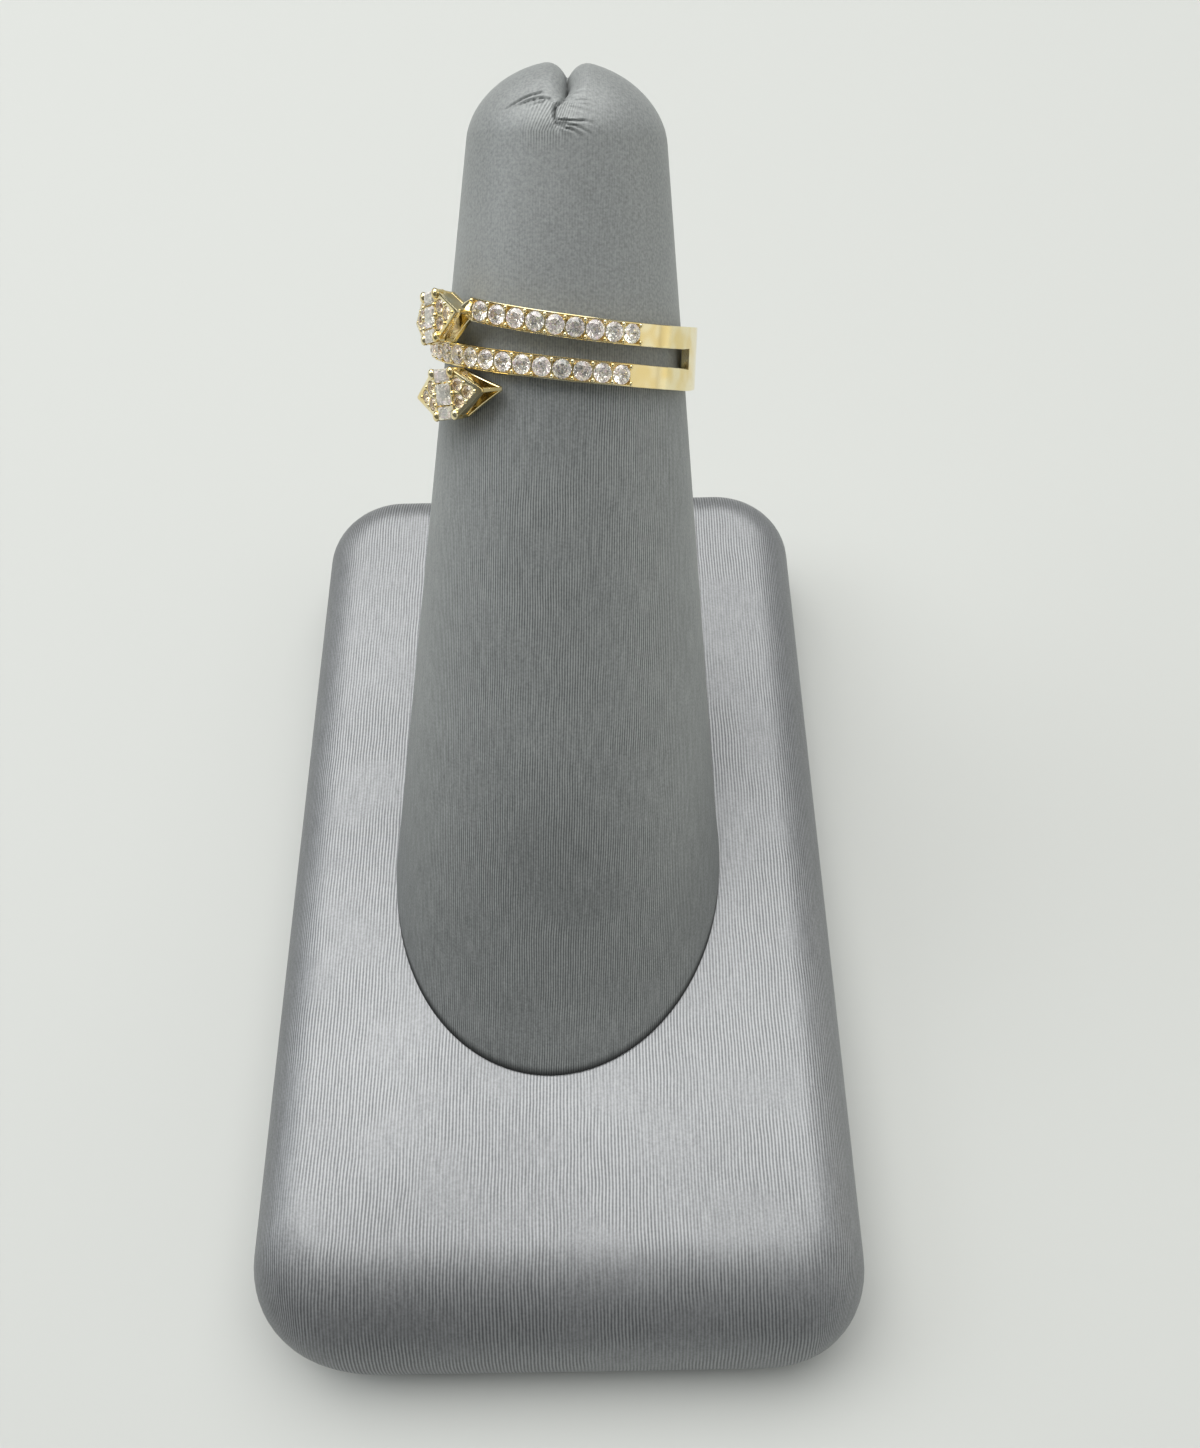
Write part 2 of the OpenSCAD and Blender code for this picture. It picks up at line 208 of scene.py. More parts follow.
def piece_from(name, points, faces, material, smooth_angle=40.0, matrix=None, across_and_along=None):
    """A closed piece from points in millimetres, with its doubles merged and its faces outwards."""
    mesh = bpy.data.meshes.new(name)
    mesh.from_pydata([tuple(p) for p in points], [], [tuple(f) for f in faces])
    if across_and_along is not None:
        uv = mesh.uv_layers.new(name="cover")
        for loop in mesh.loops:
            uv.data[loop.index].uv = across_and_along[loop.vertex_index]
    shell = bmesh.new()
    shell.from_mesh(mesh)
    bmesh.ops.remove_doubles(shell, verts=shell.verts, dist=0.0005)
    bmesh.ops.dissolve_degenerate(shell, edges=shell.edges, dist=0.0001)
    bmesh.ops.recalc_face_normals(shell, faces=shell.faces)
    shell.to_mesh(mesh)
    shell.free()
    mesh.transform(matrix or Matrix.Identity(4))
    mesh.transform(Matrix.Scale(MM, 4))
    for face in mesh.polygons:
        face.use_smooth = True
    mesh.set_sharp_from_angle(angle=math.radians(smooth_angle))
    mesh.materials.append(material)
    return new_object(name, mesh)


def tube_faces(rows, around):
    """The faces between rows of points, each row closed on itself."""
    return [(r * around + i, r * around + (i + 1) % around,
             (r + 1) * around + (i + 1) % around, (r + 1) * around + i)
            for r in range(rows - 1) for i in range(around)]


def gained_radius(gain, height):
    """What a front corner's radius gains at a height: most at the floor, least from a height up."""
    half_way, swing, ends_at = gain
    return half_way + swing * math.cos(math.pi * min(height / ends_at, 1))


def base_row(height, side_inset, front_inset):
    """One level row of the base's cover: a rounded rectangle, set in at the sides and at the front.
    Its front corners are rounder near the floor than above, the left one most."""
    half_w = base_w / 2 - side_inset
    back_r = base_corner_r - side_inset
    left_r = back_r + gained_radius(base_left_round, height)
    right_r = back_r + gained_radius(base_right_round, height)
    back, front = base_d / 2 - side_inset - back_r, base_front_in + front_inset - base_d / 2
    corners = [(half_w - back_r, back, back_r), (back_r - half_w, back, back_r),
               (left_r - half_w, front + left_r, left_r), (half_w - right_r, front + right_r, right_r)]
    row = []
    for k, (x, y, corner) in enumerate(corners):
        for t in np.radians(np.linspace(90 * k, 90 * k + 90, corner_points)):
            row.append((x + corner * math.cos(t), y + corner * math.sin(t), height))
        x, y, corner = corners[(k + 1) % 4]
        start = np.array(row[-1])
        end = np.array((x + corner * math.cos(t), y + corner * math.sin(t), height))
        between = end_points if k % 2 == 0 else side_points
        row += [tuple(start + (end - start) * i / (between + 1)) for i in range(1, between + 1)]
    return np.array(row)


def foot_inset(height, radius):
    """How far a rounded foot has drawn in at a height."""
    return radius - math.sqrt(radius ** 2 - max(radius - height, 0) ** 2)


def front_inset(height):
    """How far the front has drawn in at a height: a round foot, then one soft curve up to the top."""
    share = max(height - base_front_foot_r, 0) / (base_h - base_front_foot_r)
    return foot_inset(height, base_front_foot_r) + base_front_run * (1 - math.sqrt(1 - share ** 2))


def stand_base_shell():
    """Rows from the middle of the underside, round the edge, to the middle of the top."""
    foot = base_row(0, base_foot_r, base_front_foot_r)
    middle = foot * 0
    middle[:, 1] = np.clip(foot[:, 1], *underside_middle)
    rows = [middle + (foot - middle) * share for share in (0.0, 0.35, 0.7)]
    for t in np.radians(np.linspace(0, 90, 11)):
        height = base_front_foot_r * (1 - math.cos(t))
        rows.append(base_row(height, foot_inset(height, base_foot_r), front_inset(height)))
    for height in np.linspace(base_front_foot_r, base_h - base_top_r, 6)[1:]:
        rows.append(base_row(height, 0, front_inset(height)))
    for t in np.radians(np.linspace(0, 90, 25))[1:]:
        height = base_h - base_top_r * (1 - math.sin(t))
        row = base_row(height, base_top_r * (1 - math.cos(t)), front_inset(height))
        row[:, 2] -= base_crown * math.sin(t) ** 2
        rows.append(row)
    edge = rows[-1]
    middle = edge * 0
    middle[:, 1] = np.clip(edge[:, 1], *top_middle)
    for inward in np.linspace(0, 1, 25)[1:]:
        row = edge + (middle - edge) * inward
        row[:, 2] = base_h - base_crown * (1 - inward) ** 2
        rows.append(row)
    return np.vstack(rows), tube_faces(len(rows), len(edge))


points, faces = stand_base_shell()
down = base_h - points[:, 2]
to_side = np.clip((np.abs(points[:, 0]) - base_w / 2 + base_top_r) / base_top_r, 0, 1)
to_front = np.clip((base_front_run - base_d / 2 - points[:, 1]) / base_front_run, 0, 1)
cover_map = np.column_stack([points[:, 0] + np.sign(points[:, 0]) * down * to_side,
                             points[:, 1] - down * to_front])
base_cover = leatherette("stand_cover_base", (0.125, 0.13, 0.135), (0.395, 0.405, 0.415),
                         line_pitch=0.25, plain_from=200, sheen=0.7, foot=0.0)
stand_base = piece_from("stand_base_cover", points, faces, base_cover, across_and_along=cover_map)
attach(stand_base, "root")
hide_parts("stand_base")

# Stand finger: a foam finger in the same leatherette, leaning back from the base, to which it is
# glued. The cover is one sheet wrapped round it and gathered at the tip, where it is tucked into a
# cleft with small folds and wrinkles round its mouth.
finger_foot_r, finger_tip_r, finger_len, finger_cap = 13.15, 6.15, 57.0, 4.8
finger_frame = (Matrix.Translation((0.2, 0.7, base_h)) @ Matrix.Rotation(math.radians(-3.9), 4, "Z")
                @ Matrix.Rotation(math.radians(-40), 4, "X"))
taper = (finger_foot_r - finger_tip_r) / finger_len
# The cleft: its line over the tip, its depth and its half width. The folds at its mouth, the notch
# first, then those on its left and on its right, the slit in the cleft and the gathers below it: each
# one's line, as places across the finger and along it, then its depth, half width and lip's height
tip_cleft = ([(-0.3, 5.2, 55.0), (-0.15, 2.0, 56.6), (-0.02, 0.0, 56.9), (0.12, -2.2, 56.6),
              (0.32, -4.4, 55.64), (0.27, -5.1, 55.07), (0.17, -5.72, 54.43), (-0.2, -6.15, 53.82)],
             1.85, 1.55)
tip_folds = [
    ([(0.2, 54.4), (0.12, 54.17), (-0.04, 53.95), (-0.26, 53.75), (-0.34, 53.54), (-0.35, 53.26),
      (-0.28, 52.93), (-0.2, 52.69), (-0.08, 52.45), (0.02, 52.25)], 0.4, 0.085, 0.08),
    ([(-1.1, 54.62), (-1.37, 54.54), (-1.81, 54.42), (-2.26, 54.26), (-2.7, 54.04), (-3.15, 53.79),
      (-3.47, 53.59), (-3.8, 53.36)], 0.2, 0.075, 0.07),
    ([(-0.12, 53.92), (-0.31, 53.98), (-0.58, 54.16), (-0.9, 54.25), (-1.17, 54.22), (-1.56, 54.16),
      (-1.96, 54.06), (-2.32, 53.93), (-2.72, 53.77), (-3.1, 53.6)], 0.17, 0.07, 0.05),
    ([(-0.71, 54.08), (-1.06, 53.97), (-1.41, 53.89), (-1.8, 53.75), (-2.11, 53.61)], 0.06, 0.06, 0.04),
    ([(-0.31, 52.88), (-0.07, 52.93), (0.41, 52.95), (0.92, 52.91), (1.43, 52.95), (1.86, 52.88),
      (2.3, 52.73)], 0.12, 0.06, 0.05),
    ([(-0.24, 52.73), (0.1, 52.6), (0.53, 52.47), (0.96, 52.35), (1.45, 51.95)], 0.12, 0.06, 0.05),
    ([(-0.12, 52.76), (0.49, 52.7), (0.92, 52.68), (1.32, 52.53), (1.79, 52.3), (2.1, 52.12)],
     0.1, 0.06, 0.05),
    ([(0.3, 53.93), (0.69, 54.03), (1.07, 54.13), (1.5, 54.17), (1.93, 54.09), (2.45, 53.9)],
     0.07, 0.08, 0.04),
    ([(1.1, 53.98), (1.4, 53.9), (1.73, 53.83), (2.3, 53.8)], 0.05, 0.06, 0.03),
    ([(0.4, 53.74), (0.7, 53.7), (1.1, 53.62), (1.53, 53.51), (2.15, 53.15)], 0.06, 0.07, 0.03),
    ([(0.8, 54.46), (1.1, 54.42), (1.4, 54.4), (1.8, 54.42)], 0.05, 0.06, 0.03),
    ([(0.41, 54.7), (1.04, 54.8), (1.68, 54.79), (2.42, 54.7)], 0.03, 0.08, 0.02),
    ([(0.04, 56.84), (0.12, 56.6), (0.32, 55.64), (0.27, 55.07), (0.2, 54.5)], 0.6, 0.09, 0.0),
]
tip_folds += [([(-0.42 - 0.2 * k, 53.85 + 0.05 * k), (-0.65 - 0.22 * k, 53.2), (-0.7 - 0.22 * k, 52.5),
                (-0.66 - 0.21 * k, 51.7)], 0.065 - 0.006 * k, 0.05, 0.025) for k in range(7)]


def finger_radius(h):
    """The finger's radius at a height along it: a cone, and the round cap of its tip."""
    in_cap = max(0.0, (h - finger_len + finger_cap) / finger_cap)
    return (finger_foot_r - taper * h) * math.sqrt(1 - in_cap ** 2)


def nearest_on(points, line):
    """Each point's distance from a line over the tip, and how far along the line its foot lies."""
    line = np.array(line)
    near = np.full(len(points), 1e9)
    place = np.zeros(len(points))
    for k in range(len(line) - 1):
        run = line[k + 1] - line[k]
        share = np.clip((points - line[k]) @ run / (run @ run), 0, 1)
        away = np.linalg.norm(points - line[k] - share[:, None] * run, axis=1)
        place = np.where(away < near, (k + share) / (len(line) - 1), place)
        near = np.minimum(near, away)
    return near, place


def fold_depth(points, line, depth, width, lip):
    """How far a fold sinks each point: a groove along its line, with a low swell on both sides."""
    on_front = [(x, -math.sqrt(finger_radius(h) ** 2 - x * x), h) for x, h in line]
    near, place = nearest_on(points, on_front)
    fade = np.sin(math.pi * np.clip(place * 0.76 + 0.24, 0, 1)) ** 0.8
    groove = np.exp(-(near / width) ** 1.5)
    swell = np.exp(-((near - 2.2 * width) / (1.2 * width)) ** 2)
    return (depth * groove - lip * swell) * fade


def cleft_depth(points, line, depth, width):
    """How far the cleft sinks each point: two round lobes that roll down to meet in it."""
    near, place = nearest_on(points, line)
    inward = np.clip(1 - near / width, 0, 1)
    fade = np.clip(place * 4, 0, 1) * np.clip((1 - place) * 2.6, 0, 1)
    return depth * (1 - np.sqrt(1 - inward ** 2)) * fade


def stand_finger_shell():
    """Rows round the finger, from its foot on the base to the middle of its tip, and its cover's map."""
    turns, foot_rows, cap_rows, folds_from = 360, 40, 80, 49
    bearing = np.radians(np.arange(turns) * 360 / turns)
    outwards = np.column_stack([np.sin(bearing), -np.cos(bearing), np.zeros(turns)])
    axis = np.array([0, 0, 1.0])
    cap_from = finger_len - finger_cap
    heights = np.concatenate([np.linspace(0, 44, 60), np.linspace(44.4, cap_from, 42)])
    rows = [(finger_foot_r - taper * h, h) for h in heights]
    for t in np.radians(np.arange(1, cap_rows + 1) * 90 / cap_rows):
        h = cap_from + finger_cap * math.sin(t)
        rows.append(((finger_foot_r - taper * h) * math.cos(t), h))
    plain = np.vstack([outwards * r + axis * h for r, h in rows])

    # The lowest rows are slid down the cone's lines to stand level on the base
    up = np.array(finger_frame.to_3x3())[2]
    level_h = -(outwards * finger_foot_r) @ up / ((axis - outwards * taper) @ up)
    for k in range(foot_rows):
        h = level_h + (rows[foot_rows][1] - level_h) * (k / foot_rows)
        radius = finger_foot_r - taper * h
        plain[k * turns:(k + 1) * turns] = outwards * radius[:, None] + axis * h[:, None]

    # The cleft and the folds sink into the tip
    sunk = np.zeros(len(plain))
    tip = plain[:, 2] > folds_from
    sunk[tip] = cleft_depth(plain[tip], *tip_cleft)
    for fold in tip_folds:
        sunk[tip] += fold_depth(plain[tip], *fold)
    side = plain * np.array([1, 1, 0])
    side /= np.maximum(np.linalg.norm(side, axis=1, keepdims=True), 1e-6)
    in_cap = np.clip((plain[:, 2] - cap_from) / finger_cap, 0, 1)[:, None]
    normal = side * np.sqrt(1 - in_cap ** 2) + axis * in_cap

    # The foam spreads a little where it stands, most at the front, and the cover is tucked under it
    level = plain @ up
    ahead = np.clip(np.cos(np.tile(bearing, len(rows)) - 0.35), 0, 1)
    spread = 0.34 * ahead * np.clip(1 - level / 4, 0, 1) ** 2
    tucked = 0.12 * np.clip(1 - level / 0.4, 0, 1) ** 2
    points = plain - normal * sunk[:, None] + side * (spread - tucked)[:, None]
    faces = tube_faces(len(rows), turns) + [tuple(reversed(range(turns)))]

    # The gathered cover's lines lean towards the cleft above its lower end
    radius = np.maximum(np.linalg.norm(plain[:, :2], axis=1), 2.0)
    across = np.tile((bearing + math.pi) % (2 * math.pi) - math.pi, len(rows)) * radius
    along = plain[:, 2]
    pulled = np.clip((along - 52.3) / 1.7, 0, 1.3) * np.clip(1 - np.abs(across + 0.5) / 3.2, 0, 1)
    return points, faces, np.column_stack([across - 0.9 * pulled, along])


points, faces, cover_map = stand_finger_shell()
# The finger's copy of the cover has lighter colours than the base's: painted light on the same leatherette
finger_cover = leatherette("stand_cover_finger", (0.12, 0.128, 0.128), (0.43, 0.449, 0.445),
                           line_pitch=0.18, plain_from=34, sheen=0.25, foot=0.1)
stand_finger = piece_from("stand_finger_cover", points, faces, finger_cover, matrix=finger_frame,
                          across_and_along=cover_map, smooth_angle=70.0)
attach(stand_finger, "root")
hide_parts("stand_finger")

# Ring setting: cast and soldered yellow gold, polished. Two bands part from a plain closed back and
# pass each other at the front, where each outer band ends in a raised openwork head. The bands are
# cut open for their stones, which small beads raised between them hold at the rails.
ring_in_r, band_t, band_w, band_pitch = 8.79, 0.55, 1.45, 2.76
band_rise, band_lift, join_angle = 1.86, 0.3, 120.0
band_out_r, half_pitch = ring_in_r + band_t, band_pitch / 2
outer_start, outer_step, outer_count = 18.7, 7.9, 9
middle_step, middle_count = 8.2, 20
ring_frame = (finger_frame @ Matrix.Translation((0, 0.14, 38.5)) @ Matrix.Rotation(math.radians(-3.5), 4, "X")
              @ Matrix.Rotation(math.radians(220), 4, "Z"))

# Half of a band's section, from the middle of its outer face round to the middle of its inner face
cut_half = [(0.0, 0.035), (0.09, 0.035), (0.598, 0.45), (0.615, 0.53), (0.63, 0.55), (0.69, 0.55),
            (0.725, 0.515), (0.725, 0.06), (0.665, 0.0), (0.3, 0.0), (0.0, 0.0)]
plain_half = [(0.0, 0.55), (0.2, 0.55), (0.45, 0.55), (0.56, 0.55), (0.63, 0.55), (0.69, 0.55),
              (0.725, 0.515), (0.725, 0.06), (0.665, 0.0), (0.3, 0.0), (0.0, 0.0)]


def whole_section(half):
    """The closed section of a band from its half."""
    return half + [(-u, v) for u, v in reversed(half[1:-1])]


def middle_z(angle):
    """Where the middle band lies across the ring: it crosses the front on a slant."""
    t = min(abs(angle) / join_angle, 1)
    return -math.copysign(1, angle) * half_pitch * (0.7 * t + 0.3 * math.sin(math.pi / 2 * t))


def outer_z(angle):
    """Where an outer band lies across the ring: it bows away from the middle band at the front."""
    return half_pitch + band_rise * (1 - min(abs(angle) / join_angle, 1)) ** 2


def outer_r(angle):
    """An outer band's inner radius: it lifts a little at the front, towards its head."""
    return ring_in_r + band_lift * (1 - min(abs(angle) / join_angle, 1)) ** 2


def ring_point(angle, r, z):
    a = math.radians(angle)
    return Vector((r * math.cos(a), r * math.sin(a), z))


class Metal:
    """Closed shells that together make the ring's metal."""

    def __init__(self):
        self.points, self.faces = [], []

    def shell(self, points, faces, place=None):
        start = len(self.points)
        self.points += [tuple(place @ Vector(p)) if place else tuple(p) for p in points]
        self.faces += [tuple(start + i for i in face) for face in faces]

    def loft(self, rows, place=None, close_start=True, close_end=True):
        """Rows of points of one length, joined one after another into a shell."""
        n = len(rows[0])
        faces = tube_faces(len(rows), n)
        if close_start:
            faces.append(tuple(range(n)))
        if close_end:
            faces.append(tuple(reversed(range((len(rows) - 1) * n, len(rows) * n))))
        self.shell([p for row in rows for p in row], faces, place)


def band_rows(line, angles, cut_from, cut_to):
    """Sections along a band: cut open between two angles, plain beyond them."""
    rows = []
    for angle in angles:
        z, r = line(angle)
        half = cut_half if cut_from <= angle <= cut_to else plain_half
        rows.append([ring_point(angle, r + v, z + u) for u, v in whole_section(half)])
    return rows


def angle_steps(start, end, *stops):
    """Angles about a degree apart, with a pair close together at each stop."""
    steps = list(np.linspace(start, end, int(abs(end - start)) + 1))
    for stop in stops:
        steps += [stop - 0.02, stop + 0.02]
    return sorted(steps)


gold_metal = Metal()
no_turn, half_turn = Matrix.Identity(4), Matrix.Rotation(math.pi, 4, "X")
middle_end = (middle_count / 2) * middle_step - 0.2
outer_end = outer_start + (outer_count - 0.5) * outer_step - 0.2
shoulder_at = outer_start - outer_step / 2 - 0.4
middle_angles = angle_steps(-join_angle, join_angle, -middle_end, middle_end)
middle_band = band_rows(lambda a: (middle_z(a), ring_in_r), middle_angles, -middle_end, middle_end)
gold_metal.loft(middle_band, close_start=False, close_end=False)
outer_angles = angle_steps(shoulder_at, join_angle, outer_end)
outer_band = band_rows(lambda a: (outer_z(a), outer_r(a)), outer_angles, 0, outer_end)
for turn in (no_turn, half_turn):
    gold_metal.loft(outer_band, place=turn, close_end=False)

# The closed back, and the walls that end the slots on both sides of it
back_outer = [(half_pitch + u, v) for u, v in reversed(plain_half[1:9])]
back_outer += [(half_pitch - u, v) for u, v in plain_half[:6]]
back_inner = [half_pitch + 0.3, half_pitch, half_pitch - 0.3, (band_pitch - band_w) / 2 + 0.06]
back = back_outer + [(-u, v) for u, v in reversed(back_outer)]
back += [(-u, 0.0) for u in back_inner] + [(u, 0.0) for u in reversed(back_inner)]
back_angles = np.linspace(join_angle, 360 - join_angle, 121)
gold_metal.loft([[ring_point(a, ring_in_r + v, u) for u, v in back] for a in back_angles],
                close_start=False, close_end=False)
slot_wall = [(half_pitch - u, v) for u, v in plain_half[5:9]]
slot_wall += [(-u, v) for u, v in reversed(slot_wall)]
for a in (join_angle, 360 - join_angle):
    gold_metal.shell([ring_point(a, ring_in_r + v, u) for u, v in slot_wall], [tuple(range(len(slot_wall)))])

# The heads: two sloping plates with round seats beside a column of stones, on a rail that follows
# the outline, with posts down to a foot rail that lies close to the finger
face_r, head_angle, head_shift = 10.53, 7.5, 0.55
upper_rise, lower_drop, head_twist, head_lean = 2.27, 2.6, 6.7, 2.5
# Half the face's length and width, half the width of its column, and the slope beside that
face_a, face_b, column_w, field_slope = 3.52, 1.64, 0.84, math.radians(9.5)
foot_free, foot_joined, foot_b, foot_rail_r = 3.8, 2.95, 1.45, 9.25
round_d = 0.86
round_places = [(1.42, -0.54), (1.42, 0.54), (2.24, 0.0)]


def head_frame(side):
    """A head's own frame: X along the face to its free tip, Y across it, Z out of it."""
    turn, offset = (half_turn, upper_rise) if side == "upper" else (no_turn, lower_drop)
    return (turn @ Matrix.Rotation(math.radians(head_angle), 4, "Z")
            @ Matrix.Translation((face_r, -head_shift, -offset))
            @ Matrix.Rotation(math.radians(90), 4, "Y") @ Matrix.Rotation(math.radians(90), 4, "Z")
            @ Matrix.Rotation(math.radians(head_lean), 4, "X")
            @ Matrix.Rotation(math.radians(head_twist), 4, "Z"))


def on_field(direction, x, y, out=0.0):
    """A point on a side field, at a height out of it."""
    fall = -max(abs(x) - column_w, 0) * math.tan(field_slope)
    raised = Vector((direction * math.sin(field_slope), 0, math.cos(field_slope)))
    return Vector((direction * x, y, fall)) + out * raised


def foot_depth(x, y):
    """How deep below the face the foot rail lies, on a cylinder round the finger."""
    twist = math.radians(head_twist)
    across = x * math.cos(twist) - y * math.sin(twist) - head_shift
    return math.sqrt(foot_rail_r * foot_rail_r - across * across) - face_r


def rail_corners(free, joined, half_w):
    """The six corners of a rail round a head: its free tip, one side, its joined tip, the other side."""
    return [(free, 0), (column_w, half_w), (-column_w, half_w),
            (-joined, 0), (-column_w, -half_w), (column_w, -half_w)]


def bar(metal, points, widths, place=None):
    """A drawn bar through the points, its section a square with soft corners. One width and height
    hold for its whole length, or a list gives those at each point."""
    points = [Vector(p) for p in points]
    soft = 0.75
    corners = [(1, soft), (soft, 1), (-soft, 1), (-1, soft), (-1, -soft), (-soft, -1), (soft, -1), (1, -soft)]
    rows = []
    for k, p in enumerate(points):
        ahead = points[min(k + 1, len(points) - 1)] - points[max(k - 1, 0)]
        ahead.normalize()
        side = ahead.cross(Vector((0, 0, 1)))
        if side.length < 0.1:
            side = ahead.cross(Vector((0, 1, 0)))
        side.normalize()
        over = side.cross(ahead)
        w, h = widths[k] if isinstance(widths, list) else widths
        rows.append([p + side * (a * w) + over * (b * h) for a, b in corners])
    metal.loft(rows, place)


def dome(metal, centre, radii, place=None, rings=5, sides=12):
    """A bead pushed up from the metal: a closed half ball with three radii and a sunk foot."""
    shares = [(0.9, -1.0)] + [(math.cos(t), math.sin(t)) for t in np.radians(np.linspace(0, 88, rings + 1))]
    rows = [[centre + Vector((math.cos(a) * radii[0] * wide, math.sin(a) * radii[1] * wide, radii[2] * high))
             for a in np.linspace(0, 2 * math.pi, sides, endpoint=False)] for wide, high in shares]
    metal.loft(rows, place)


def curve_plate(half_outline, holes, half_thickness, edge):
    """A flat plate with round holes and soft edges, from a filled curve. Half its outline is given,
    and the other half mirrors it."""
    curve = bpy.data.curves.new("plate", "CURVE")
    curve.dimensions, curve.fill_mode = "2D", "BOTH"
    curve.extrude, curve.bevel_depth, curve.bevel_resolution = half_thickness - edge, edge, 1
    curve.offset = -edge
    hole_turns = np.linspace(0, 2 * math.pi, 24, endpoint=False)
    loops = [half_outline + [(x, -y) for x, y in reversed(half_outline)]]
    loops += [[(x + r * math.cos(t), y + r * math.sin(t)) for t in hole_turns] for x, y, r in holes]
    for loop in loops:
        spline = curve.splines.new("POLY")
        spline.points.add(len(loop) - 1)
        for k, (x, y) in enumerate(loop):
            spline.points[k].co = (x, y, 0, 1)
        spline.use_cyclic_u = True
    holder = new_object("plate", curve)
    mesh = bpy.data.meshes.new_from_object(holder.evaluated_get(bpy.context.evaluated_depsgraph_get()))
    result = [v.co.copy() for v in mesh.vertices], [tuple(f.vertices) for f in mesh.polygons]
    bpy.data.objects.remove(holder)
    bpy.data.curves.remove(curve)
    bpy.data.meshes.remove(mesh)
    return result


plate_t, plate_out, tray_out = 0.42, -0.23, -0.49
seats = [(x, y, round_d / 2 + 0.02) for x, y in round_places]
plate = curve_plate([(0.80, -1.55), (0.93, -1.64), (1.02, -1.6), (face_a, -0.07)], seats, plate_t / 2, 0.03)
tray = curve_plate([(0.83, -1.5), (face_a - 0.15, -0.05)], [], 0.03, 0.005)
corners_top = rail_corners(face_a - 0.14, face_a - 0.14, face_b - 0.14)
corners_foot = rail_corners(foot_free, foot_joined, foot_b)
joined_corner, wall_out = 3, Vector((-0.52, -0.85, 0)) * 0.09
window_shade_sheet = [(0.02, 0.06), (0.35, 0.06), (0.7, 0.06), (1.0, 0.06), (1.0, 0.0), (0.7, 0.0), (0.35, 0.0),
              (0.02, 0.0)]
for side in ("lower", "upper"):
    place = head_frame(side)
    for direction in (-1, 1):
        for (flat, faces), out in ((plate, plate_out), (tray, tray_out)):
            gold_metal.shell([on_field(direction, p.x, p.y, out + p.z) for p in flat], faces, place)
    rail = [Vector((x, y, -0.62 if y else on_field(1, abs(x), 0).z - 0.24)) for x, y in corners_top]
    for i in range(6):
        j = (i + 1) % 6
        bar(gold_metal, [rail[i].lerp(rail[j], s) for s in (0, 0.5, 1)], (0.12, 0.15), place)
        foot = []
        for s in np.linspace(0, 1, 5):
            x = corners_foot[i][0] * (1 - s) + corners_foot[j][0] * s
            y = corners_foot[i][1] * (1 - s) + corners_foot[j][1] * s
            foot.append(Vector((x, y, foot_depth(x, y))))
        bar(gold_metal, foot, (0.13, 0.14), place)
        bar(gold_metal, [rail[i], rail[i].lerp(foot[0], 0.5), foot[0]],
            [(0.15, 0.15), (0.12, 0.12), (0.13, 0.13)], place)
        if i == joined_corner:
            # The one closed wall, on the side where the band joins the head
            wall_rows = []
            for s in np.linspace(0, 1, 9):
                t, f = rail[i].lerp(rail[j], s), foot[0].lerp(foot[-1], s)
                wall_rows.append([t + wall_out, t - wall_out, f - wall_out, f + wall_out])
            gold_metal.loft(wall_rows, place)
    # A thin sheet that follows the finger closes the foot rail, put in to darken what shows through the
    # head's open windows: a sheet standing in for shade
    sheet_edge = [Vector(corners_foot[i]).lerp(Vector(corners_foot[(i + 1) % 6]), s)
                  for i in range(6) for s in (0, 0.25, 0.5, 0.75)]
    gold_metal.loft([[Vector((x * share, y * share, foot_depth(x * share, y * share) + out))
                      for x, y in sheet_edge] for share, out in window_shade_sheet], place)
    # Claws at the column's corners, at its stones' meetings and between the round stones
    for dx in (-1, 1):
        for dy in (-1, 1):
            claw = [Vector((dx * 0.96, dy * 1.48, -0.6)), Vector((dx * 0.97, dy * 1.46, 0.0))]
            bar(gold_metal, claw, (0.16, 0.18), place)
            dome(gold_metal, Vector((dx * 1.0, dy * 1.36, 0.0)), (0.3, 0.36, 0.2), place)
            dome(gold_metal, Vector((dx * 0.9, dy * 0.68, 0.02)), (0.13, 0.16, 0.14), place)
            dome(gold_metal, on_field(dx, 2.02, dy * 0.6), (0.14, 0.14, 0.09), place)
            dome(gold_metal, on_field(dx, 1.12, dy * 1.12), (0.12, 0.12, 0.08), place)
        dome(gold_metal, Vector((dx * 0.98, 0, -0.02)), (0.16, 0.2, 0.17), place)
        dome(gold_metal, on_field(dx, 2.86, 0), (0.16, 0.13, 0.09), place)

# The shoulders: each outer band rises and spreads into the joined tip of its head, its outer edge
# running on into the head's closed wall
root_at = shoulder_at + 1.2
tip_z, wall_z = on_field(-1, face_a, 0).z - 0.12, -1.5
shoulder_start = [ring_point(root_at, outer_r(root_at) + v, outer_z(root_at) + u)
                  for u, v in whole_section(plain_half)]
for side, turn in (("upper", no_turn), ("lower", half_turn)):
    inward = turn.inverted() @ head_frame(side)
    shoulder_end = []
    for u, v in whole_section(plain_half):
        t = max(0.0, u / band_w + 0.5)
        top = Vector(corners_top[joined_corner]).lerp(Vector(corners_top[joined_corner + 1]), t / 2)
        low = Vector(corners_foot[joined_corner]).lerp(Vector(corners_foot[joined_corner + 1]), t / 2)
        high = inward @ Vector((*top, tip_z + (wall_z - tip_z) * t))
        foot = inward @ Vector((*low, foot_depth(*low)))
        shoulder_end.append(foot.lerp(high, v / band_t))
    rows = []
    for s in np.linspace(0, 1, 13):
        ease = s * s * (3 - 2 * s)
        rows.append([a.lerp(b, s) + (b - a) * (ease - s) * 0.5 for a, b in zip(shoulder_start, shoulder_end)])
    gold_metal.loft(rows, turn)

